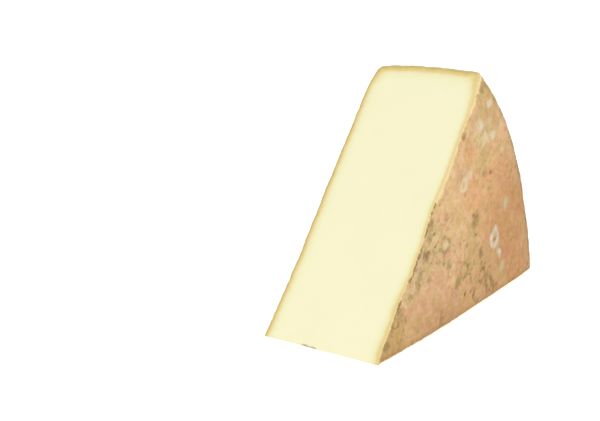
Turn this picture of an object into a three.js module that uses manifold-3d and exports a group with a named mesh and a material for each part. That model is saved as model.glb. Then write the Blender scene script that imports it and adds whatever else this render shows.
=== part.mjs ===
// A wedge cut from a low round wheel of semi-hard cheese, resting on one of its two cut faces.
// Millimetres, +Z up. X runs from the nose along the floor to the rim, Y is the axis of the wheel.
import * as THREE from "three";
import { mergeVertices } from "three/addons/utils/BufferGeometryUtils.js";
import Module from "manifold-3d";

// Wheel, with a rim that bulges in its middle and leans out towards the near face
const WHEEL_RADIUS = 238.1;
const WHEEL_HEIGHT = 70;
const RIM_BULGE = 2;
const RIM_LEAN = 2;
const NEAR_CORNER = 2.2;
const FAR_CORNER = 3;

// Swell of the rim: how far it stands out, the height where it is highest, and how far it reaches from there
const RIM_SWELL = { height: 1.5, z: 29, reach: 14 };

// Shoulders, where a flat face sags towards the rim
const NEAR_SAG = 2;
const NEAR_REACH = 32;
const FAR_SAG = 3.4;
const FAR_REACH = 26;

// Cuts: the upper one points at the axis of the wheel, the lower one meets it short of the axis
const CUT_ANGLE = THREE.MathUtils.degToRad(51.3);
const NOSE_FROM_AXIS = 66;
const AXIS_X = -NOSE_FROM_AXIS * Math.cos(CUT_ANGLE);
const AXIS_Z = -NOSE_FROM_AXIS * Math.sin(CUT_ANGLE);

// Slow waves of the rind, and a longer swell that only the two flat faces have.
// Over each distance in reach, along X, Y and Z, a wave runs through one radian.
const MIDDLE_WAVE = { height: 0.2, reach: [60, 20, 17], start: 1.4 };
const SHORT_WAVE = { height: 0.12, reach: [11, -15, -19], start: 0 };
const FACE_SWELL = { height: 1.1, reach: [37, Infinity, -43], start: 0 };

// Fineness of the mesh
const FACET = 4.5;
const CORNER_STEPS = 3;
const WHEEL_STEPS = Math.round((2 * Math.PI * WHEEL_RADIUS) / FACET);
const MERGE_GAP = 1e-4;

// Where the section of the wheel stops short of the axis, in what the cuts take away
const CORE_RADIUS = 50;

const PASTE_COLOUR = 0xf8f3cd;
const PASTE_ROUGHNESS = 0.6;

// Points from one end of a straight line to the other, without the last one.
function linePoints(from, to) {
  const steps = Math.ceil(from.distanceTo(to) / FACET);
  return Array.from({ length: steps }, (_, i) => from.clone().lerp(to, i / steps));
}

// Points of a rounded corner, a quarter circle from the start angle on, without the last one.
function cornerPoints(centre, radius, startAngle) {
  return Array.from({ length: CORNER_STEPS }, (_, i) => {
    const angle = startAngle + (i / CORNER_STEPS) * (Math.PI / 2);
    return new THREE.Vector2(Math.cos(angle), Math.sin(angle)).multiplyScalar(radius).add(centre);
  });
}

// Half section of the wheel as a closed loop.
function wheelProfile() {
  const half = WHEEL_HEIGHT / 2;
  const inner = new THREE.Vector2(CORE_RADIUS, 0);
  const nearInner = new THREE.Vector2(CORE_RADIUS, -half);
  const nearOuter = new THREE.Vector2(WHEEL_RADIUS - NEAR_CORNER, -half);
  const nearCentre = new THREE.Vector2(WHEEL_RADIUS - NEAR_CORNER, NEAR_CORNER - half);
  const rimNear = new THREE.Vector2(WHEEL_RADIUS, NEAR_CORNER - half);
  const rimFar = new THREE.Vector2(WHEEL_RADIUS, half - FAR_CORNER);
  const farCentre = new THREE.Vector2(WHEEL_RADIUS - FAR_CORNER, half - FAR_CORNER);
  const farOuter = new THREE.Vector2(WHEEL_RADIUS - FAR_CORNER, half);
  const farInner = new THREE.Vector2(CORE_RADIUS, half);
  return [
    inner,
    ...linePoints(nearInner, nearOuter),
    ...cornerPoints(nearCentre, NEAR_CORNER, -Math.PI / 2),
    ...linePoints(rimNear, rimFar),
    ...cornerPoints(farCentre, FAR_CORNER, 0),
    ...linePoints(farOuter, farInner),
    farInner,
    inner.clone(),
  ];
}

// How far a wave stands out at a place measured from the nose.
function waveAt({ height, reach, start }, x, y, z) {
  return height * Math.sin(x / reach[0] + y / reach[1] + z / reach[2] + start);
}

// Sag of a face at a distance from the axis, none up to the reach and all of it at the rim.
function sagAt(radius, reach, depth) {
  const share = THREE.MathUtils.clamp((radius - WHEEL_RADIUS + reach) / reach, 0, 1);
  return depth * share * share;
}

// Moves each point of the true wheel to where the aged wheel has it.
function ageWheel(geometry) {
  const position = geometry.attributes.position;
  const normal = geometry.attributes.normal;
  for (let i = 0; i < position.count; i++) {
    const fromAxisX = position.getX(i);
    const fromAxisZ = position.getZ(i);
    const radius = Math.hypot(fromAxisX, fromAxisZ);
    const x = fromAxisX + AXIS_X;
    const y = position.getY(i);
    const z = fromAxisZ + AXIS_Z;
    const nearSag = sagAt(radius, NEAR_REACH, NEAR_SAG);
    const farSag = sagAt(radius, FAR_REACH, FAR_SAG);
    const across = y / WHEEL_HEIGHT + 0.5;
    const bulge = 4 * RIM_BULGE * across * (1 - across);
    const lean = RIM_LEAN * (0.5 - across);
    const swell = RIM_SWELL.height * Math.exp(-(((z - RIM_SWELL.z) / RIM_SWELL.reach) ** 2));
    const stand = waveAt(MIDDLE_WAVE, x, y, z) + waveAt(SHORT_WAVE, x, y, z);
    const outward = Math.hypot(normal.getX(i), normal.getZ(i));
    const grown = 1 + (bulge + lean + swell + stand * outward) / radius;
    const settled = nearSag - WHEEL_HEIGHT / 2 + across * (WHEEL_HEIGHT - nearSag - farSag);
    const sideways = (stand + waveAt(FACE_SWELL, x, y, z)) * normal.getY(i);
    position.setXYZ(i, fromAxisX * grown, settled + sideways, fromAxisZ * grown);
  }
}

// The whole wheel, placed with the nose of the wedge at the origin.
function wheelGeometry() {
  const wheel = new THREE.LatheGeometry(wheelProfile(), WHEEL_STEPS);
  wheel.normalizeNormals();
  ageWheel(wheel);
  wheel.translate(AXIS_X, 0, AXIS_Z);
  return wheel;
}

// What the two cuts leave standing: a long three-sided bar along the axis of the wheel.
function cutGeometry() {
  const side = 2 * WHEEL_RADIUS;
  const depth = 2 * WHEEL_HEIGHT;
  const outline = new THREE.Shape();
  outline.moveTo(0, 0);
  outline.lineTo(side, 0);
  outline.lineTo(side * Math.cos(CUT_ANGLE), side * Math.sin(CUT_ANGLE));
  outline.closePath();
  const bar = new THREE.ExtrudeGeometry(outline, { depth, bevelEnabled: false });
  bar.rotateX(Math.PI / 2);
  bar.translate(0, depth / 2, 0);
  return bar;
}

const wasm = await Module();
wasm.setup();

// A closed geometry as a solid for the boolean.
function solidOf(geometry) {
  const bare = new THREE.BufferGeometry();
  bare.setAttribute("position", geometry.attributes.position);
  bare.setIndex(geometry.index);
  const merged = mergeVertices(bare, MERGE_GAP);
  return new wasm.Manifold(
    new wasm.Mesh({
      numProp: 3,
      vertProperties: merged.attributes.position.array,
      triVerts: new Uint32Array(merged.index.array),
    }),
  );
}

// A solid as a geometry, centred over the floor.
function placedGeometry(solid) {
  const made = solid.getMesh();
  const geometry = new THREE.BufferGeometry();
  geometry.setAttribute("position", new THREE.BufferAttribute(made.vertProperties, 3));
  geometry.setIndex(new THREE.BufferAttribute(made.triVerts, 1));
  geometry.computeBoundingBox();
  const box = geometry.boundingBox;
  geometry.translate(-(box.min.x + box.max.x) / 2, -(box.min.y + box.max.y) / 2, -box.min.z);
  geometry.computeVertexNormals();
  return geometry;
}

const wedge = solidOf(wheelGeometry()).intersect(solidOf(cutGeometry()));
const paste = new THREE.MeshStandardMaterial({
  color: PASTE_COLOUR,
  roughness: PASTE_ROUGHNESS,
  metalness: 0,
});
const mesh = new THREE.Mesh(placedGeometry(wedge), paste);
mesh.name = "cheese_wedge";

const group = new THREE.Group();
group.name = "semi_hard_cheese";
group.add(mesh);

export default group;
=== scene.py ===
"""Looks of a wedge of semi-hard cheese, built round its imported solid.

Sizes are millimetres from the nose of the wedge: x along the floor to the rim, y along the axis of the
wheel, z up. They become metres when the mesh is made.
"""

import math
import random

import bmesh
import bpy
import numpy as np
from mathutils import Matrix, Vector, noise


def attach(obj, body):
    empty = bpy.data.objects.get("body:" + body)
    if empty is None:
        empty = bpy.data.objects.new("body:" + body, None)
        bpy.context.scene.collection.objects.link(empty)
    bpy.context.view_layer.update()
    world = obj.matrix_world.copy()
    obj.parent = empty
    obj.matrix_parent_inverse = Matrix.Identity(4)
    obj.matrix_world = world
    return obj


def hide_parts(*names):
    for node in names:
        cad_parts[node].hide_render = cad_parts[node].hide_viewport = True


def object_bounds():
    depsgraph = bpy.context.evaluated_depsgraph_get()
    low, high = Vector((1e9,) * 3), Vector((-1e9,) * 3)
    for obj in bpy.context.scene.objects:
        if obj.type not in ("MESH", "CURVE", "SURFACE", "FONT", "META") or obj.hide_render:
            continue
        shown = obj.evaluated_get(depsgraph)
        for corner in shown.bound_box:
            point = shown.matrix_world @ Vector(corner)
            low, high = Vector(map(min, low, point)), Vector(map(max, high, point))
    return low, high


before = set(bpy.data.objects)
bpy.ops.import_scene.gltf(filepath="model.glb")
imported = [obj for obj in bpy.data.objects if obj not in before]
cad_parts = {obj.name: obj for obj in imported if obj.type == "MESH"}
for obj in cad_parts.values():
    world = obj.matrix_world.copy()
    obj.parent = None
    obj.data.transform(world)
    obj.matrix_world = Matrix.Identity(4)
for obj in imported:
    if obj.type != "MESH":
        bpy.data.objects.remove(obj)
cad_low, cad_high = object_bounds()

MM = 0.001

# Form of the wheel and its cuts, as in the solid
WHEEL_RADIUS = 238.1
WHEEL_HEIGHT = 70
RIM_BULGE = 2
RIM_LEAN = 2
NEAR_CORNER = 2.2
FAR_CORNER = 3
NEAR_SAG = 2
NEAR_REACH = 32
FAR_SAG = 3.4
FAR_REACH = 26
CUT_ANGLE = math.radians(51.3)
NOSE_FROM_AXIS = 66

# Swell of the rim as in the solid: how far it stands out, where it is highest, and its reach from there
RIM_SWELL = (1.5, 29, 14)

# Waves of the rind as in the solid: height, distance along x, y and z for one radian, and start
MIDDLE_WAVE = (0.2, (60, 20, 17), 1.4)
SHORT_WAVE = (0.12, (11, -15, -19), 0)
FACE_SWELL = (1.1, (37, math.inf, -43), 0)

# Fineness of the mesh, and the angle from which an edge is sharp
ROWS = 205
NEAR_CORNER_STEPS = 4
RIM_STEPS = 62
FAR_CORNER_STEPS = 6
SHARP_ANGLE = math.radians(100)

# Relief of the rind, and how far from the nose it is full
LUMP_SIZE = 13
LUMP_HEIGHT = 0.2
GRAIN_SIZE = 3.2
GRAIN_HEIGHT = 0.16
PIT_DEPTH = 0.3
STAIN_DEPTH = 0.25
BLOOM_HEIGHT = 0.2
RELIEF_FULL = 6

# Wear of the edges and corners: its depth, and the size and share of its unevenness
EDGE_WEAR = 0.32
EDGE_WEAR_SIZE = 4
EDGE_WEAR_UNEVEN = 0.8

# How far the near face stands out along the upper cut, at distances from the nose, and its reach from there
EDGE_ALONG = (4, 38, 50, 62, 74, 88, 106)
EDGE_STAND = (-0.7, -0.6, 0.6, 0.6, 0, -0.7, 0)
EDGE_REACH = 9

# How far the far face stands out at the nose, and its reach from there
FAR_NOSE_STAND = 1.5
FAR_NOSE_REACH = 64

# Wear of the nose edge: how far it draws back, the size of its notches, its reach, and steps to full wear
NOSE_WEAR = 0.5
NOSE_WEAR_SIZE = 9
NOSE_WEAR_REACH = 7
NOSE_WEAR_STEPS = 4

# Slight waves of the paste, and how far inside its edges they are full
PASTE_WAVE = 0.08
PASTE_WAVE_SIZE = 28
PASTE_WAVE_FULL = 5

# Where soft edges end, as shares of their width
EDGE_END = 1.3
MARK_END = 1.35
CUT_LIP_END = 1.4

# Pale lip of the paste on the rind along the upper cut: its width at distances from the nose
LIP_ALONG = (88, 96, 118, 128, 142, 152)
LIP_ON_RIND = (0.4, 3.2, 3.4, 0.8, 0.8, 3.4)

# Band of the paste under the rind at distances from the nose: how fast its colours run in from the near
# and the far face, and the width of the pale lip along the near one
BAND_ALONG = (30, 105, 125, 156, 168)
NEAR_BAND = (1.1, 1.8, 1.7, 1.25, 0.45)
FAR_BAND = (1, 1, 1, 1, 0.4)
LIP_ON_CUT = (1.2, 1.2, 1.5, 2.1, 2.2)

# Depth of that band's colours at distances from the rim
RIM_BAND_ALONG = (0, 1.6, 3.2, 4.8, 60)
RIM_BAND = (0, 1.1, 1.6, 3.6, 45)

# Dark crumbs along the upper cut: widths on both sides of its edge, least share, and where the rest begins
# and ends at distances from the nose
DIRT_ON_RIND = 2.2
DIRT_ON_CUT = 0.8
DIRT_LEAST = 0.25
DIRT_START = 12
DIRT_START_WIDTH = 16
DIRT_END = 96
DIRT_END_WIDTH = 6

# Painted shadow along the nose edge, where it meets the floor, laid as dark crumbs: its width, and its
# strength at places across the wheel
NOSE_SHADOW_WIDTH = 1.4
NOSE_SHADOW_ACROSS = (0, 4, 11, 17)
NOSE_SHADOW = (0, 1.4, 1.4, 0)

# Painted shade of the rind away from the upper cut and towards the floor, and the height of a painted shadow
# line along the floor
SHADE_START = 22
SHADE_WIDTH = 78
LOW_SHADE = 0.75
LOW_SHADE_HEIGHT = 36
FLOOR_SHADOW_HEIGHT = 4.5

# Corners between flat faces and rim, worn in relief and darkened with painted shade: their widths on both,
# and the far one's share
CORNER_ON_FACE = 4
CORNER_ON_RIM = 3
FAR_CORNER_SHARE = 0.45

# Camera fitted to the photograph, placed in metres
CAMERA_AZIMUTH = math.radians(-55.031)
CAMERA_ELEVATION = math.radians(15.356)
CAMERA_PLACE = Vector((-0.56736, -0.31609, 0.23134))
CAMERA_LENS = 70
CAMERA_SENSOR = 36

# Studio light
SKY_STRENGTH = 0.54
KEY_STRENGTH = 0.52
KEY_SPREAD = math.radians(50)
KEY_FROM = Vector((-0.55, -0.35, 0.76))
WHITE = (1, 1, 1, 1)

# Round floor with a low curved wall, its sizes and its drop below the wedge in metres
STAGE_FLAT = 2.5
STAGE_CURVE = 1.5
STAGE_WALL = 1.1
STAGE_DROP = 0.0002
STAGE_STEPS = 12
STAGE_SIDES = 64

# Finish of the floor
FLOOR_SHADE = 0.9
FLOOR_GLOW = 0.3
FLOOR_ROUGHNESS = 0.9

# Seeds of the marks on the unseen sides and of the wander of all marks
MARK_SEED = 7
WANDER_SEED = 5


# Form

def ray_reach(radius, angle):
    """How far along a ray from the nose a point is that lies at this distance from the wheel's axis."""
    along = NOSE_FROM_AXIS * np.cos(CUT_ANGLE - angle)
    return np.sqrt(along ** 2 - NOSE_FROM_AXIS ** 2 + radius ** 2) - along


def points_at(radius, angle, y):
    """Points at a distance from the wheel's axis, on a ray from the nose, at a place across the wheel."""
    reach = ray_reach(radius, angle)
    return np.stack([reach * np.cos(angle), y, reach * np.sin(angle)], axis=-1)


def wave_at(wave, x, y, z):
    height, reach, start = wave
    return height * np.sin(x / reach[0] + y / reach[1] + z / reach[2] + start)


def sag(radius, reach, depth):
    """Sag of a face at a distance from the axis: all of it at the rim, none beyond its reach from there."""
    share = np.clip((radius - WHEEL_RADIUS + reach) / reach, 0, 1)
    return depth * share ** 2


def aged(radius, angle, y, out_radius, out_y):
    """Where the aged wheel has a point of the true wheel, as distance from the axis and place across."""
    x, _, z = points_at(radius, angle, y).T
    near_sag = sag(radius, NEAR_REACH, NEAR_SAG)
    far_sag = sag(radius, FAR_REACH, FAR_SAG)
    across = y / WHEEL_HEIGHT + 0.5
    bulge = 4 * RIM_BULGE * across * (1 - across)
    lean = RIM_LEAN * (0.5 - across)
    swell_height, swell_z, swell_reach = RIM_SWELL
    swell = swell_height * np.exp(-((z - swell_z) / swell_reach) ** 2)
    out_share = (radius - NOSE_FROM_AXIS) / (WHEEL_RADIUS - NOSE_FROM_AXIS)
    stand = wave_at(MIDDLE_WAVE, x, y, z) + wave_at(SHORT_WAVE, x, y, z)
    sideways = stand + wave_at(FACE_SWELL, x, y, z)
    settled = near_sag - WHEEL_HEIGHT / 2 + across * (WHEEL_HEIGHT - near_sag - far_sag)
    grown = radius + bulge + (lean + swell) * out_share + stand * out_radius
    return grown, settled + sideways * out_y


# Layout of the rind: two triangular lattices that fan out from the nose, and a strip round the rim

def lattice():
    """Row of each lattice point, counted from the nose, and its share of the way from floor to upper cut."""
    row = np.concatenate([np.full(k + 1, k) for k in range(ROWS + 1)])
    step = np.concatenate([np.arange(k + 1) for k in range(ROWS + 1)])
    return row, step / np.maximum(row, 1)


def flat_face(side, corner):
    """True wheel points of a flat face, side -1 being the near one: radius, angle, y and direction out."""
    row, share = lattice()
    outer = WHEEL_RADIUS - corner
    radius = NOSE_FROM_AXIS + (outer - NOSE_FROM_AXIS) * row / ROWS
    flat = np.zeros(len(row))
    return np.stack([radius, CUT_ANGLE * share, flat + side * WHEEL_HEIGHT / 2, flat, flat + side])


def rim_section():
    """Radius, y and direction out along the rim's section, from the near face's end to the far face's."""
    half = WHEEL_HEIGHT / 2
    near_turn = np.linspace(-math.pi / 2, 0, NEAR_CORNER_STEPS, endpoint=False)
    far_turn = np.linspace(0, math.pi / 2, FAR_CORNER_STEPS + 1)
    rim_y = np.linspace(NEAR_CORNER - half, half - FAR_CORNER, RIM_STEPS, endpoint=False)
    radius = np.concatenate([
        WHEEL_RADIUS - NEAR_CORNER * (1 - np.cos(near_turn)),
        np.full(RIM_STEPS, WHEEL_RADIUS),
        WHEEL_RADIUS - FAR_CORNER * (1 - np.cos(far_turn)),
    ])
    y = np.concatenate([
        NEAR_CORNER - half + NEAR_CORNER * np.sin(near_turn),
        rim_y,
        half - FAR_CORNER + FAR_CORNER * np.sin(far_turn),
    ])
    turn = np.concatenate([near_turn, np.zeros(RIM_STEPS), far_turn])
    return radius, y, np.cos(turn), np.sin(turn)


def rim_strip():
    """True wheel points of the rim between the two flat faces, one run of rays for each step across."""
    section = [part[1:-1] for part in rim_section()]
    rays = ROWS + 1
    radius, y, out_radius, out_y = [np.repeat(part, rays) for part in section]
    angle = np.tile(np.linspace(0, CUT_ANGLE, rays), len(section[0]))
    return np.stack([radius, angle, y, out_radius, out_y])


# Numbering of the points: near face, far face, rim, nose edge, floor cut, upper cut

FACE_COUNT = (ROWS + 1) * (ROWS + 2) // 2
ACROSS = NEAR_CORNER_STEPS + RIM_STEPS + FAR_CORNER_STEPS
FAR_START = FACE_COUNT
RIM_START = 2 * FACE_COUNT
NOSE_START = RIM_START + (ACROSS - 1) * (ROWS + 1)
FLOOR_START = NOSE_START + ACROSS - 1
UPPER_START = FLOOR_START + (ROWS - 1) * (ACROSS - 1)
POINT_COUNT = UPPER_START + (ROWS - 1) * (ACROSS - 1)
ROW_STARTS = np.arange(ROWS + 1) * np.arange(1, ROWS + 2) // 2


def rim_grid():
    """Point numbers of the rim, steps across by rays, with the ends of the two flat faces."""
    grid = np.empty((ACROSS + 1, ROWS + 1), int)
    grid[0] = ROW_STARTS[-1] + np.arange(ROWS + 1)
    grid[-1] = FAR_START + grid[0]
    grid[1:-1] = RIM_START + np.arange((ACROSS - 1) * (ROWS + 1)).reshape(ACROSS - 1, -1)
    return grid


def cut_grid(start, upper):
    """Point numbers of a cut face, rows from the nose by steps across, with the points it shares."""
    edge = ROW_STARTS + (np.arange(ROWS + 1) if upper else 0)
    grid = np.empty((ROWS + 1, ACROSS + 1), int)
    grid[:, 0] = edge
    grid[:, -1] = FAR_START + edge
    grid[0, 1:-1] = NOSE_START + np.arange(ACROSS - 1)
    grid[-1] = rim_grid()[:, -1 if upper else 0]
    grid[1:-1, 1:-1] = start + np.arange((ROWS - 1) * (ACROSS - 1)).reshape(ROWS - 1, -1)
    return grid


FLOOR_GRID = cut_grid(FLOOR_START, upper=False)
UPPER_GRID = cut_grid(UPPER_START, upper=True)


def grid_triangles(grid):
    a, b = grid[:-1, :-1].ravel(), grid[1:, :-1].ravel()
    c, d = grid[1:, 1:].ravel(), grid[:-1, 1:].ravel()
    return np.concatenate([np.stack([a, b, c], 1), np.stack([a, c, d], 1)])


def lattice_triangles(start):
    up, down = [], []
    for row in range(ROWS):
        inner = start + ROW_STARTS[row] + np.arange(row + 1)
        outer = start + ROW_STARTS[row + 1] + np.arange(row + 2)
        up.append(np.stack([inner, outer[:-1], outer[1:]], 1))
        down.append(np.stack([inner[:-1], outer[1:-1], inner[1:]], 1))
    return np.concatenate(up + down)


# Marks of the rind

# Marks of each kind on the near face: place along the floor, height, radius and, for a ring, its bare middle
MARKS = {
    "grey": ((52, 47, 20), (42, 40, 14), (72, 40, 12), (104, 106, 14), (30, 30, 9), (122, 106, 9)),
    "salmon": ((124, 64, 34), (150, 40, 28), (100, 70, 18), (118, 46, 14), (92, 92, 8), (162, 10, 18)),
    "pink": ((54, 18, 24), (76, 10, 16), (36, 22, 12), (84, 84, 8)),
    "ochre": (
        (12, 8, 16), (18, 16, 10), (108, 86, 12), (99, 42, 13), (112, 122, 16), (92, 27, 9),
        (141, 54, 6), (128, 108, 8),
    ),
    "specked": (
        (54, 46, 24), (44, 38, 14), (84, 30, 22), (108, 18, 24), (74, 44, 16), (128, 12, 16),
        (20, 16, 14),
    ),
    "bloom": (
        (104, 106, 4.6), (110, 98, 4.6), (119, 99.5, 4), (136, 25, 4), (142, 16, 4.4), (92, 80, 4),
        (87, 76, 4.4, 1.6), (67.5, 46.5, 2.2), (116, 117, 4), (131.5, 88, 3.4), (134, 31, 4.5),
        (105, 107, 3), (142, 54, 4),
    ),
    "white": ((129, 36, 6.6, 2), (129.5, 41.5, 2.8), (136.5, 25, 2.6)),
    "stain": (
        (48, 46, 5), (53, 62, 4.5), (51, 54, 4.5), (90, 26, 6.4, 3), (82, 21, 5.2), (112, 31.5, 5),
        (124, 9, 6.4, 2.4), (129, 8, 4), (114, 17.5, 5, 2.6), (22, 20, 5), (9, 7, 4), (65, 4, 5),
        (67.5, 46.5, 5.8, 3), (72, 34, 4.5), (41, 36, 3.5), (120, 14, 3.5), (111, 78, 4), (102, 53, 6),
        (108, 126, 3.5), (69, 62, 3.5), (30, 28, 3.5),
    ),
    "dark": (
        (103, 54.5, 2.8), (99.5, 55.5, 2.2), (101, 51, 1.8), (118.7, 77, 2.8), (118.7, 72, 1.8),
        (103, 44, 2), (48.5, 46, 2.8), (45, 47, 2), (86, 24, 2), (94, 27, 1.8), (81, 20.5, 2.4),
        (121, 8, 2.6), (127, 11, 2), (104.5, 7.5, 2), (79.5, 94, 1.2), (62, 70, 1.8), (92.5, 11, 1.8),
        (36, 40, 2), (85.5, 103, 2.6), (115.5, 21, 1.6), (101.5, 11.5, 1.6), (129, 36, 1.8), (55, 56, 1.8),
        (57, 48, 1.6), (110, 15, 1.6),
    ),
}

# How many marks of each kind the rim and the far face share, with the least and the greatest radius
UNSEEN_MARKS = {
    "grey": (14, 12, 26),
    "salmon": (14, 14, 34),
    "pink": (12, 10, 24),
    "ochre": (14, 8, 18),
    "specked": (12, 14, 28),
    "bloom": (20, 2, 5),
    "white": (5, 2, 4),
    "stain": (36, 2.5, 7),
    "dark": (36, 1.4, 3),
}

# Bare middles that those marks may have, as shares of their radius
UNSEEN_HOLLOWS = (0,) * 11 + (0.45,)

# Least y of the direction out on the rim and the far face
UNSEEN_OUT_Y = -0.5

# Size and reach of the wander that makes round marks uneven
MARK_WANDER = ((7, 1.6), (2.6, 1.1))

# Fractal noise: how fast its finer octaves fade, and how much finer each is than the one before
FRACTAL_FADE = 1
FRACTAL_STEP = 2


def noise_field(points, size, octaves):
    return np.array([noise.fractal(Vector(p) / size, FRACTAL_FADE, FRACTAL_STEP, octaves) for p in points])


def smooth_step(value):
    share = np.clip(value, 0, 1)
    return share * share * (3 - 2 * share)


def fading(distance, width, end=1):
    """A share that eases to 0 with the distance, ending at this many widths."""
    return smooth_step(end - distance / width)


def stamp(field, points, place, radius, hollow=0):
    """Lays a soft blot, or a ring where it has a hollow, on a field over the points."""
    distance = np.linalg.norm(points - place, axis=1)
    from_middle = np.abs(distance - (radius + hollow) / 2) if hollow else distance
    width = (radius - hollow) / 2 if hollow else radius
    np.maximum(field, fading(from_middle, width, MARK_END), out=field)


def wandering(points):
    """The points moved about a little, so that a round mark laid on them comes out uneven."""
    noise.seed_set(WANDER_SEED)
    moved = points.copy()
    for size, reach in MARK_WANDER:
        moved += reach * np.array([noise.noise_vector(Vector(p) / size) for p in points])
    return moved


def rind_marks(points, out_y):
    """Fields of each kind of mark over the rind's points."""
    draw = random.Random(MARK_SEED)
    points = wandering(points)
    unseen = np.flatnonzero(out_y > UNSEEN_OUT_Y)
    fields = {}
    for kind, marks in MARKS.items():
        fields[kind] = np.zeros(len(points))
        for x, z, *sizes in marks:
            stamp(fields[kind], points, (x, -WHEEL_HEIGHT / 2, z), *sizes)
        count, least, greatest = UNSEEN_MARKS[kind]
        for _ in range(count):
            radius = draw.uniform(least, greatest)
            hollow = radius * draw.choice(UNSEEN_HOLLOWS)
            stamp(fields[kind], points, points[draw.choice(unseen)], radius, hollow)
    return fields


def corner_share(true_radius, true_y):
    """How near a point of the true wheel lies to a round corner, 1 on the near one, less on the far one."""
    from_rim = np.maximum(WHEEL_RADIUS - NEAR_CORNER - true_radius, 0)
    from_face = np.maximum(WHEEL_HEIGHT / 2 - NEAR_CORNER - np.abs(true_y), 0)
    share = smooth_step(1 - from_rim / CORNER_ON_FACE - from_face / CORNER_ON_RIM)
    return share * np.where(true_y < 0, 1, FAR_CORNER_SHARE)


def edge_dirt(along, from_edge, width):
    """Dark crumbs along the edge of the upper cut, most of them on its lower half."""
    started = smooth_step((along - DIRT_START) / DIRT_START_WIDTH)
    crumbly = started * smooth_step((DIRT_END - along) / DIRT_END_WIDTH)
    return (DIRT_LEAST + (1 - DIRT_LEAST) * crumbly) * fading(from_edge, width, EDGE_END)


# Points of the whole wedge

def from_upper_cut(points):
    """Distance of points from the plane of the upper cut."""
    return points[:, 0] * math.sin(CUT_ANGLE) - points[:, 2] * math.cos(CUT_ANGLE)


def rind_fields(base, true_radius, true_y, out_y):
    """Fields over the rind that its material reads."""
    along = np.hypot(base[:, 0], base[:, 2])
    from_upper = from_upper_cut(base)
    height = base[:, 2]
    # Painted shade: darker away from the upper cut and towards the floor
    shade = smooth_step((from_upper - SHADE_START) / SHADE_WIDTH)
    fields = rind_marks(base, out_y)
    fields["lip"] = fading(from_upper, np.interp(along, LIP_ALONG, LIP_ON_RIND), EDGE_END)
    fields["dirt_and_nose_shadow"] = edge_dirt(along, from_upper, DIRT_ON_RIND)
    # Painted shadow line where the rind meets the floor
    fields["floor_shadow_line"] = fading(height, FLOOR_SHADOW_HEIGHT)
    fields["shade"] = np.maximum(shade, LOW_SHADE * fading(height, LOW_SHADE_HEIGHT))
    fields["corner"] = corner_share(true_radius, true_y)
    return fields


def rind_relief(base, angle, out_y, fields):
    """How far the rind stands out from the aged wheel."""
    along = np.hypot(base[:, 0], base[:, 2])
    lumps = LUMP_HEIGHT * noise_field(base, LUMP_SIZE, octaves=2)
    grain = GRAIN_HEIGHT * noise_field(base, GRAIN_SIZE, octaves=3)
    wear_and_shade_share = np.maximum.reduce([fields["lip"], np.isclose(angle, 0), fields["corner"]])
    wear = EDGE_WEAR * wear_and_shade_share * (1 + EDGE_WEAR_UNEVEN * noise_field(base, EDGE_WEAR_SIZE, octaves=2))
    marked = BLOOM_HEIGHT * fields["bloom"] - STAIN_DEPTH * fields["stain"] - PIT_DEPTH * fields["dark"]
    edge_stand = np.interp(along, EDGE_ALONG, EDGE_STAND) * fading(from_upper_cut(base), EDGE_REACH)
    relief = lumps + grain + marked - wear + edge_stand * (out_y < 0)
    relief *= smooth_step(along / RELIEF_FULL)
    return relief + FAR_NOSE_STAND * fading(along, FAR_NOSE_REACH) * (out_y > 0)


def fill_cut(points, grid, upper):
    """Fills a cut face between its four edges, and gives how deep under the rind each point lies."""
    along = np.linspace(0, 1, ROWS + 1)[:, None, None]
    across = np.linspace(0, 1, ACROSS + 1)[None, :, None]
    near, far = points[grid[:, 0]][:, None], points[grid[:, -1]][:, None]
    nose, rim = points[grid[0]][None], points[grid[-1]][None]
    corners = (
        (1 - along) * ((1 - across) * nose[:, :1] + across * nose[:, -1:])
        + along * ((1 - across) * rim[:, :1] + across * rim[:, -1:])
    )
    filled = (1 - across) * near + across * far + (1 - along) * nose + along * rim - corners
    reach = np.hypot(filled[..., 0], filled[..., 2])
    rim_reach = np.hypot(rim[..., 0], rim[..., 2])
    depth = np.minimum.reduce([
        np.interp(reach, BAND_ALONG, NEAR_BAND) * (filled[..., 1] - near[..., 1]),
        np.interp(reach, BAND_ALONG, FAR_BAND) * (far[..., 1] - filled[..., 1]),
        np.interp(rim_reach - reach, RIM_BAND_ALONG, RIM_BAND),
    ])
    if upper:
        waves = PASTE_WAVE * noise_field(filled.reshape(-1, 3), PASTE_WAVE_SIZE, octaves=2)
        waves = waves.reshape(depth.shape) * smooth_step(np.minimum(depth, reach) / PASTE_WAVE_FULL)
        filled[..., 0] -= waves * math.sin(CUT_ANGLE)
        filled[..., 2] += waves * math.cos(CUT_ANGLE)
    inner = grid[1:-1, 1:-1]
    points[inner] = filled[1:-1, 1:-1]
    return np.maximum(depth, 0)


def mark_cut(points, grid, fields):
    """Adds a cut face's pale lip and dark crumbs to the fields, with painted shadow along the nose edge where
    it meets the floor.
    """
    reach = np.hypot(points[grid, 0], points[grid, 2])
    inside = points[grid, 1] - points[grid[:, :1], 1]
    lip = fading(inside, np.interp(reach, BAND_ALONG, LIP_ON_CUT), CUT_LIP_END)
    # Painted shadow along the nose edge where it meets the floor, laid as dark crumbs
    nose_shadow = np.interp(points[grid, 1], NOSE_SHADOW_ACROSS, NOSE_SHADOW)
    nose_shadow *= fading(reach, NOSE_SHADOW_WIDTH, EDGE_END)
    dirt_and_nose_shadow = np.maximum(edge_dirt(reach, inside, DIRT_ON_CUT), nose_shadow)
    fields["lip"][grid] = np.maximum(fields["lip"][grid], lip)
    fields["dirt_and_nose_shadow"][grid] = np.maximum(fields["dirt_and_nose_shadow"][grid], dirt_and_nose_shadow)


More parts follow.
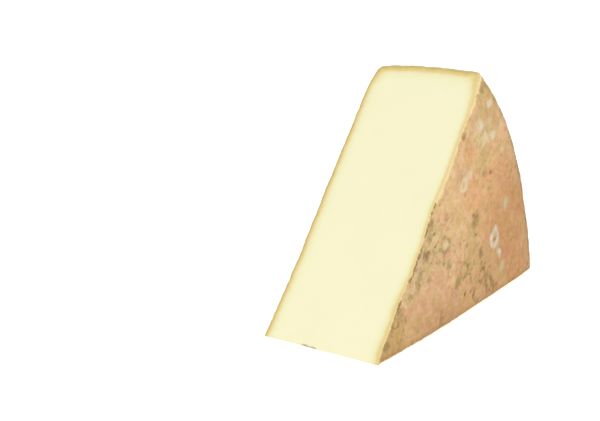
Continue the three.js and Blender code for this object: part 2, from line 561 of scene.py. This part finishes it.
def wear_nose(points):
    """Lets the thin edge at the nose draw back a little, unevenly, and the paste near it follow."""
    edge = points[NOSE_START:FLOOR_START]
    step = np.arange(len(edge))
    drawn_back = NOSE_WEAR * np.clip(noise_field(edge, NOSE_WEAR_SIZE, octaves=3), 0, 1)
    drawn_back *= smooth_step(step / NOSE_WEAR_STEPS) * smooth_step(step[::-1] / NOSE_WEAR_STEPS)
    for grid in (FLOOR_GRID, UPPER_GRID):
        inner = grid[1:-1, 1:-1]
        reach = np.hypot(points[inner, 0], points[inner, 2])
        points[inner, 0] += drawn_back * fading(reach, NOSE_WEAR_REACH)
    edge[:, 0] += drawn_back


def build_points():
    """All points of the wedge, the rind's points without relief, and the fields that the materials read."""
    rind = np.concatenate([flat_face(-1, NEAR_CORNER), flat_face(1, FAR_CORNER), rim_strip()], axis=1)
    true_radius, angle, true_y, out_radius, out_y = rind
    radius, y = aged(*rind)
    base = points_at(radius, angle, y)
    fields = rind_fields(base, true_radius, true_y, out_y)
    relief = rind_relief(base, angle, out_y, fields)
    points = np.zeros((POINT_COUNT, 3))
    points[:NOSE_START] = points_at(radius + relief * out_radius, angle, y + relief * out_y)
    nose_y = np.linspace(points[0, 1], points[FAR_START, 1], ACROSS + 1)
    points[NOSE_START:FLOOR_START, 1] = nose_y[1:-1]

    fields = {name: np.pad(field, (0, POINT_COUNT - NOSE_START)) for name, field in fields.items()}
    fields["depth"] = np.zeros(POINT_COUNT)
    for grid, upper in ((FLOOR_GRID, False), (UPPER_GRID, True)):
        fields["depth"][grid] = fill_cut(points, grid, upper)
        mark_cut(points, grid, fields)
    wear_nose(points)
    return points, base, fields


def to_frame(points, base):
    """The points in metres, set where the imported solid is."""
    low = np.minimum(base.min(0), 0)
    high = base.max(0)
    centre = (low + high) / 2
    box_centre = np.array((cad_low + cad_high) / 2) / MM
    shift = np.array([box_centre[0] - centre[0], box_centre[1] - centre[1], cad_low.z / MM])
    return (points + shift) * MM


def turn_faces_out(mesh):
    turned = bmesh.new()
    turned.from_mesh(mesh)
    bmesh.ops.recalc_face_normals(turned, faces=turned.faces)
    turned.to_mesh(mesh)
    turned.free()


def wedge_mesh():
    points, base, fields = build_points()
    rind_faces = [lattice_triangles(0), lattice_triangles(FAR_START), grid_triangles(rim_grid())]
    paste_faces = [grid_triangles(FLOOR_GRID), grid_triangles(UPPER_GRID)]
    rind_count = sum(len(f) for f in rind_faces)
    faces = np.concatenate(rind_faces + paste_faces)
    mesh = bpy.data.meshes.new("cheese_wedge_skin")
    mesh.from_pydata(to_frame(points, base).tolist(), [], faces.tolist())
    slots = np.zeros(len(faces), int)
    slots[rind_count:] = 1
    mesh.polygons.foreach_set("material_index", slots)
    for name, field in fields.items():
        attribute = mesh.attributes.new(name, "FLOAT", "POINT")
        attribute.data.foreach_set("value", field.astype(np.float32))
    turn_faces_out(mesh)
    mesh.shade_smooth()
    mesh.set_sharp_from_angle(angle=SHARP_ANGLE)
    return mesh


def make_wedge():
    mesh = wedge_mesh()
    mesh.materials.append(rind_material())
    mesh.materials.append(paste_material())
    wedge = bpy.data.objects.new("cheese_wedge_skin", mesh)
    bpy.context.scene.collection.objects.link(wedge)
    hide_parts("cheese_wedge")
    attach(wedge, "root")


# Colours as they show in the studio light, which lights the two kinds of face by these factors
PASTE_FACTOR = 1.19
RIND_FACTOR = 1.08


def srgb(red, green, blue):
    """A colour given as a screen shows it, 0 to 255, as the shader's linear colour."""
    shares = [channel / 255 for channel in (red, green, blue)]
    return tuple(((s + 0.055) / 1.055) ** 2.4 if s > 0.04045 else s / 12.92 for s in shares) + (1,)


def lit_colour(red, green, blue, factor):
    return tuple(channel / factor for channel in srgb(red, green, blue)[:3]) + (1,)


def paste_colour(red, green, blue):
    return lit_colour(red, green, blue, PASTE_FACTOR)


def rind_colour(red, green, blue):
    return lit_colour(red, green, blue, RIND_FACTOR)


RIND_TAN = rind_colour(224, 186, 138)
RIND_SAND = rind_colour(218, 179, 128)
RIND_SALMON = rind_colour(221, 163, 110)
RIND_PINK = rind_colour(211, 166, 126)
RIND_GREY = rind_colour(206, 181, 130)
RIND_OCHRE = rind_colour(199, 168, 106)
RIND_LIGHT = rind_colour(238, 202, 156)
RIND_DEEP = rind_colour(194, 147, 91)
RIND_YELLOW = rind_colour(213, 185, 118)
RIND_ROSE = rind_colour(220, 164, 128)
RIND_OLIVE = rind_colour(160, 140, 92)
RIND_BROWN = rind_colour(124, 90, 42)
RIND_STAIN = rind_colour(146, 126, 76)
RIND_BLOOM = rind_colour(224, 213, 182)
RIND_WHITE = rind_colour(238, 234, 224)
RIND_LIP = rind_colour(245, 221, 166)
PASTE_LIP = paste_colour(241, 220, 158)
PASTE_CRUMB_AND_SHADOW = paste_colour(150, 112, 58)
PASTE_CLOUD = paste_colour(243, 238, 194)

# Filters that paint shade on the rind, away from the upper cut and on the corners, as linear colours
SHADE_TINT = (0.79, 0.73, 0.64, 1)
CORNER_SHADE_TINT = (0.62, 0.68, 0.52, 1)

# Colours of the paste by depth under the rind
PASTE_DEPTHS = (
    (0, paste_colour(178, 155, 96)),
    (0.8, paste_colour(211, 188, 114)),
    (1.7, paste_colour(233, 212, 141)),
    (3.1, paste_colour(242, 231, 178)),
    (4.4, paste_colour(244, 239, 194)),
    (6, paste_colour(247, 243, 201)),
    (10, paste_colour(249, 244, 205)),
)
PASTE_DEEPEST = PASTE_DEPTHS[-1][0]

# Noises: size of their features, detail, roughness and shift
GROUND_NOISE = (34, 3, 0.55, 0)
ZONE_NOISE = (9, 5, 0.65, 1)
HUE_NOISE = (7, 4, 0.65, 17)
MOTTLE_NOISE = (9, 4, 0.7, 9)
FINE_MOTTLE_NOISE = (3.4, 4, 0.7, 3.4)
GRAIN_NOISE = (1.7, 4, 0.7, 21)
GREY_SPECK_NOISE = (3.2, 4, 0.7, 6)
FLECK_NOISE = (2.8, 3, 0.6, 2)
VEIN_NOISE = (11, 3, 0.5, 31)
VEIN_BREAK_NOISE = (6, 2, 0.5, 33)
RAGGED_NOISE = (2.2, 4, 0.7, 4)
PATCH_NOISE = (4, 4, 0.65, 13)
FRAY_NOISE = (2.4, 4, 0.7, 10)
CRUMB_AND_SHADOW_NOISE = (4, 3, 0.6, 11)
CORNER_NOISE = (12, 5, 0.7, 41)
RIND_BUMP_NOISE = (1.1, 3, 0.6, 6)
BAND_NOISE = (5, 3, 0.55, 0)
CLOUD_NOISE = (30, 3, 0.55, 0)
PASTE_BUMP_NOISE = (1.4, 3, 0.55, 0)

# Layers of the rind that noise lays down: noise, where it begins and is full, strength and colour
RIND_MOTTLES = (
    (HUE_NOISE, 0.5, 0.64, 0.7, RIND_YELLOW),
    (HUE_NOISE, 0.5, 0.36, 0.7, RIND_ROSE),
    (MOTTLE_NOISE, 0.5, 0.68, 0.5, RIND_LIGHT),
    (MOTTLE_NOISE, 0.5, 0.32, 0.5, RIND_DEEP),
    (FINE_MOTTLE_NOISE, 0.5, 0.68, 0.34, RIND_LIGHT),
    (FINE_MOTTLE_NOISE, 0.5, 0.32, 0.38, RIND_DEEP),
)
RIND_GRAINS = (
    (GRAIN_NOISE, 0.5, 0.68, 0.24, RIND_DEEP),
    (GRAIN_NOISE, 0.5, 0.32, 0.2, RIND_LIGHT),
)

# Layers that fields lay down: field, noise of its edge and gain, where it begins and is full, strength
# and colour
RIND_ZONES = (
    ("salmon", ZONE_NOISE, 1.6, 0.3, 0.9, 0.85, RIND_SALMON),
    ("pink", ZONE_NOISE, 1.6, 0.3, 0.9, 0.85, RIND_PINK),
    ("grey", ZONE_NOISE, 1.6, 0.3, 0.9, 0.8, RIND_GREY),
    ("ochre", ZONE_NOISE, 1.6, 0.3, 0.9, 0.85, RIND_OCHRE),
)
RIND_BLOTS = (
    ("stain", PATCH_NOISE, 3, 0.3, 1.3, 0.65, RIND_STAIN),
    ("dark", RAGGED_NOISE, 2.4, 0.2, 1.2, 0.75, RIND_BROWN),
    ("bloom", PATCH_NOISE, 3, 0.2, 1.1, 0.66, RIND_BLOOM),
    ("white", FRAY_NOISE, 2.4, 0.1, 1.3, 0.85, RIND_WHITE),
)
RIND_EDGES = (
    ("lip", RAGGED_NOISE, 2.4, 0.3, 0.9, 0.85, RIND_LIP),
    ("dirt_and_nose_shadow", CRUMB_AND_SHADOW_NOISE, 3, 0.6, 1.1, 0.75, RIND_BROWN),
)
# The paste's dark crumbs also carry the painted shadow along the nose edge
PASTE_EDGES = (("dirt_and_nose_shadow", CRUMB_AND_SHADOW_NOISE, 3, 0.7, 1.2, 0.7, PASTE_CRUMB_AND_SHADOW),)

# Specks: edges of the zones that have them, and the share of them elsewhere
SPECK_ZONE = (ZONE_NOISE, 1.6, 0.3, 0.9)
SPECKED_LEAST = 0.4

# Values of a noise at which its layer begins and is full
GROUND_SPAN = (0.38, 0.62)
GREY_SPECK_SPAN = (0.52, 0.66)
FLECK_SPAN = (0.55, 0.66)
VEIN_SPAN = (0.95, 0.99)
VEIN_BREAK_SPAN = (0.48, 0.6)
CLOUD_SPAN = (0.35, 0.65)

# Depth at which the clouds of the paste begin and are full, as shares of the deepest
CLOUD_DEPTH_SPAN = (0.2, 0.6)

# Span of the noise that breaks up the corners' painted shade, and the least and the greatest share that it
# gives them
CORNER_SPAN = (0.36, 0.64, 0.2, 1)

# Shade with its edge broken up: noise and gain, where it begins and is full
SHADE_EDGE = (HUE_NOISE, 0.8, 0, 1)

# Strengths of single layers
GREY_SPECK_STRENGTH = 0.45
FLECK_STRENGTH = 0.42
VEIN_STRENGTH = 0.42
FLOOR_SHADOW_STRENGTH = 0.32
PASTE_LIP_STRENGTH = 0.8
CLOUD_STRENGTH = 0.25

# How far the band under the rind wanders in depth
BAND_WANDER = 1.2

# Finish of the surfaces, with the depth and strength of their bump
SPECULAR = 0.3
RIND_ROUGHNESS = 0.82
RIND_BUMP = (0.25, 0.6)
PASTE_ROUGHNESS = 0.55
PASTE_BUMP = (0.06, 0.5)


# Materials

# Colour sockets of a mix node
MIX_FIRST = 6
MIX_SECOND = 7
MIX_RESULT = 2


class Shader:
    """A material's node tree, built from the inputs towards the output."""

    def __init__(self, name):
        self.material = bpy.data.materials.new(name)
        self.material.use_nodes = True
        self.tree = self.material.node_tree
        self.surface = self.tree.nodes["Principled BSDF"]
        self.place = self.add("ShaderNodeTexCoord").outputs["Object"]

    def add(self, kind, **settings):
        made = self.tree.nodes.new(kind)
        for name, value in settings.items():
            setattr(made, name, value)
        return made

    def set(self, socket, value):
        if isinstance(value, bpy.types.NodeSocket):
            self.tree.links.new(value, socket)
        else:
            socket.default_value = value

    def field(self, name):
        return self.add("ShaderNodeAttribute", attribute_name=name).outputs["Fac"]

    def noise(self, size, detail, roughness, shift):
        """Noise with features of about this many millimetres."""
        made = self.add("ShaderNodeTexNoise", noise_dimensions="4D")
        self.set(made.inputs["Vector"], self.place)
        made.inputs["W"].default_value = shift
        made.inputs["Scale"].default_value = 1 / (size * MM)
        made.inputs["Detail"].default_value = detail
        made.inputs["Roughness"].default_value = roughness
        return made.outputs["Fac"]

    def span(self, value, low, high, to_low=0.0, to_high=1.0):
        """The value from low to high as a share, eased at both ends."""
        made = self.add("ShaderNodeMapRange", interpolation_type="SMOOTHSTEP")
        for name, given in zip(("Value", "From Min", "From Max", "To Min", "To Max"),
                               (value, low, high, to_low, to_high)):
            self.set(made.inputs[name], given)
        return made.outputs["Result"]

    def math(self, operation, first, second):
        made = self.add("ShaderNodeMath", operation=operation)
        self.set(made.inputs[0], first)
        self.set(made.inputs[1], second)
        return made.outputs[0]

    def mix(self, share, first, second, blend="MIX"):
        made = self.add("ShaderNodeMix", data_type="RGBA", blend_type=blend)
        self.set(made.inputs[0], share)
        self.set(made.inputs[MIX_FIRST], first)
        self.set(made.inputs[MIX_SECOND], second)
        return made.outputs[MIX_RESULT]

    def centred(self, value, gain):
        """Noise as a value about zero."""
        return self.math("MULTIPLY", self.math("SUBTRACT", value, 0.5), gain)

    def ridge(self, value):
        """Highest, at 1, in thin lines where noise crosses its middle."""
        off = self.math("ABSOLUTE", self.math("SUBTRACT", value, 0.5), 0)
        return self.math("SUBTRACT", 1, off)

    def blot(self, name, edge_noise, gain, low, high):
        """A field of marks with its edge broken up by noise."""
        uneven = self.centred(self.noise(*edge_noise), gain)
        return self.span(self.math("ADD", self.field(name), uneven), low, high)

    def cover(self, colour, share, strength, other):
        return self.mix(self.math("MULTIPLY", share, strength), colour, other)

    def tint(self, colour, share, filter_colour):
        return self.mix(share, colour, filter_colour, "MULTIPLY")

    def lay_noises(self, colour, layers):
        for settings, low, high, strength, other in layers:
            share = self.span(self.noise(*settings), low, high)
            colour = self.cover(colour, share, strength, other)
        return colour

    def lay_fields(self, colour, layers):
        for name, edge_noise, gain, low, high, strength, other in layers:
            share = self.blot(name, edge_noise, gain, low, high)
            colour = self.cover(colour, share, strength, other)
        return colour

    def ramp(self, value, stops):
        made = self.add("ShaderNodeValToRGB")
        self.set(made.inputs[0], value)
        elements = made.color_ramp.elements
        while len(elements) < len(stops):
            elements.new(1)
        for element, (position, colour) in zip(elements, stops):
            element.position = position
            element.color = colour
        return made.outputs[0]

    def bump(self, height, distance, strength):
        made = self.add("ShaderNodeBump")
        made.inputs["Distance"].default_value = distance * MM
        made.inputs["Strength"].default_value = strength
        self.set(made.inputs["Height"], height)
        return made.outputs["Normal"]

    def complete(self, colour, roughness, normal):
        """The material, with its colour, roughness and bump set."""
        self.set(self.surface.inputs["Base Color"], colour)
        self.surface.inputs["Roughness"].default_value = roughness
        self.surface.inputs["Specular IOR Level"].default_value = SPECULAR
        self.set(self.surface.inputs["Normal"], normal)
        return self.material


def lay_specks(shader, colour):
    """Olive specks in the grey zones, and brown flecks and thin veins, most of them in the specked zones."""
    grey_specks = shader.span(shader.noise(*GREY_SPECK_NOISE), *GREY_SPECK_SPAN)
    grey_specks = shader.math("MULTIPLY", grey_specks, shader.blot("grey", *SPECK_ZONE))
    colour = shader.cover(colour, grey_specks, GREY_SPECK_STRENGTH, RIND_OLIVE)
    specked = shader.math("MAXIMUM", shader.blot("specked", *SPECK_ZONE), SPECKED_LEAST)
    flecks = shader.span(shader.noise(*FLECK_NOISE), *FLECK_SPAN)
    colour = shader.cover(colour, shader.math("MULTIPLY", flecks, specked), FLECK_STRENGTH, RIND_BROWN)
    veins = shader.span(shader.ridge(shader.noise(*VEIN_NOISE)), *VEIN_SPAN)
    unbroken = shader.span(shader.noise(*VEIN_BREAK_NOISE), *VEIN_BREAK_SPAN)
    veins = shader.math("MULTIPLY", shader.math("MULTIPLY", veins, unbroken), specked)
    return shader.cover(colour, veins, VEIN_STRENGTH, RIND_BROWN)


def lay_shade(shader, colour):
    """Painted shade on the rind: darker away from the upper cut and on the rounded corners, and a painted
    shadow line along the floor.
    """
    colour = shader.tint(colour, shader.blot("shade", *SHADE_EDGE), SHADE_TINT)
    # Painted shade on the corners, broken into patches
    wear_and_shade_share = shader.span(shader.noise(*CORNER_NOISE), *CORNER_SPAN)
    colour = shader.tint(colour, shader.math("MULTIPLY", shader.field("corner"), wear_and_shade_share), CORNER_SHADE_TINT)
    # Painted shadow line along the floor, in brown
    return shader.cover(colour, shader.field("floor_shadow_line"), FLOOR_SHADOW_STRENGTH, RIND_BROWN)


def rind_material():
    """Dry washed rind: tan with salmon, grey and ochre zones, olive stains, brown flecks and white bloom."""
    shader = Shader("rind")
    colour = shader.mix(shader.span(shader.noise(*GROUND_NOISE), *GROUND_SPAN), RIND_TAN, RIND_SAND)
    colour = shader.lay_fields(colour, RIND_ZONES)
    colour = shader.lay_noises(colour, RIND_MOTTLES)
    colour = lay_specks(shader, colour)
    colour = shader.lay_noises(colour, RIND_GRAINS)
    colour = shader.lay_fields(colour, RIND_BLOTS)
    colour = lay_shade(shader, colour)
    colour = shader.lay_fields(colour, RIND_EDGES)
    fine = shader.math("ADD", shader.noise(*RIND_BUMP_NOISE), shader.noise(*FINE_MOTTLE_NOISE))
    return shader.complete(colour, RIND_ROUGHNESS, shader.bump(fine, *RIND_BUMP))


def paste_material():
    """Smooth pale paste that darkens to ochre in the last millimetres under the rind."""
    shader = Shader("paste")
    wander = shader.centred(shader.noise(*BAND_NOISE), BAND_WANDER)
    share = shader.math("DIVIDE", shader.math("ADD", shader.field("depth"), wander), PASTE_DEEPEST)
    colour = shader.ramp(share, [(depth / PASTE_DEEPEST, tone) for depth, tone in PASTE_DEPTHS])
    colour = shader.cover(colour, shader.field("lip"), PASTE_LIP_STRENGTH, PASTE_LIP)
    colour = shader.lay_fields(colour, PASTE_EDGES)
    cloud = shader.span(shader.noise(*CLOUD_NOISE), *CLOUD_SPAN)
    cloud = shader.math("MULTIPLY", cloud, shader.span(share, *CLOUD_DEPTH_SPAN))
    colour = shader.cover(colour, cloud, CLOUD_STRENGTH, PASTE_CLOUD)
    return shader.complete(colour, PASTE_ROUGHNESS, shader.bump(shader.noise(*PASTE_BUMP_NOISE), *PASTE_BUMP))


def floor_material():
    shader = Shader("floor")
    inputs = shader.surface.inputs
    inputs["Base Color"].default_value = (FLOOR_SHADE, FLOOR_SHADE, FLOOR_SHADE, 1)
    inputs["Roughness"].default_value = FLOOR_ROUGHNESS
    inputs["Specular IOR Level"].default_value = 0
    inputs["Emission Color"].default_value = WHITE
    inputs["Emission Strength"].default_value = FLOOR_GLOW
    return shader.material


# Stage

def stage_mesh():
    """A round floor whose outer part curves up into a low wall, so that no horizon shows."""
    profile = [(0.0, 0.0)]
    for step in range(STAGE_STEPS + 1):
        turn = math.pi / 2 * step / STAGE_STEPS
        profile.append((STAGE_FLAT + STAGE_CURVE * math.sin(turn), STAGE_WALL * (1 - math.cos(turn))))
    shape = bmesh.new()
    points = [shape.verts.new((radius, 0, height)) for radius, height in profile]
    edges = [shape.edges.new(pair) for pair in zip(points, points[1:])]
    bmesh.ops.spin(
        shape, geom=points + edges, axis=(0, 0, 1), cent=(0, 0, 0), angle=2 * math.pi, steps=STAGE_SIDES,
    )
    bmesh.ops.remove_doubles(shape, verts=shape.verts, dist=MM)
    bmesh.ops.recalc_face_normals(shape, faces=shape.faces)
    mesh = bpy.data.meshes.new("floor")
    shape.to_mesh(mesh)
    shape.free()
    mesh.shade_smooth()
    return mesh


def make_floor():
    mesh = stage_mesh()
    mesh.materials.append(floor_material())
    floor = bpy.data.objects.new("floor", mesh)
    floor.location.z = -STAGE_DROP
    bpy.context.scene.collection.objects.link(floor)


def make_light():
    world = bpy.data.worlds.new("studio")
    world.use_nodes = True
    sky = world.node_tree.nodes["Background"]
    sky.inputs["Color"].default_value = WHITE
    sky.inputs["Strength"].default_value = SKY_STRENGTH
    bpy.context.scene.world = world
    light = bpy.data.lights.new("key", "SUN")
    light.energy = KEY_STRENGTH * math.pi
    light.angle = KEY_SPREAD
    key = bpy.data.objects.new("key", light)
    key.rotation_euler = KEY_FROM.to_track_quat("Z", "Y").to_euler()
    bpy.context.scene.collection.objects.link(key)
    bpy.context.scene.view_settings.view_transform = "Standard"


def make_camera():
    data = bpy.data.cameras.new("camera")
    data.lens = CAMERA_LENS
    data.sensor_width = CAMERA_SENSOR
    camera = bpy.data.objects.new("camera", data)
    camera.location = CAMERA_PLACE
    camera.rotation_euler = (math.pi / 2 - CAMERA_ELEVATION, 0, CAMERA_AZIMUTH)
    bpy.context.scene.collection.objects.link(camera)
    bpy.context.scene.camera = camera


make_camera()
make_light()
make_floor()
make_wedge()
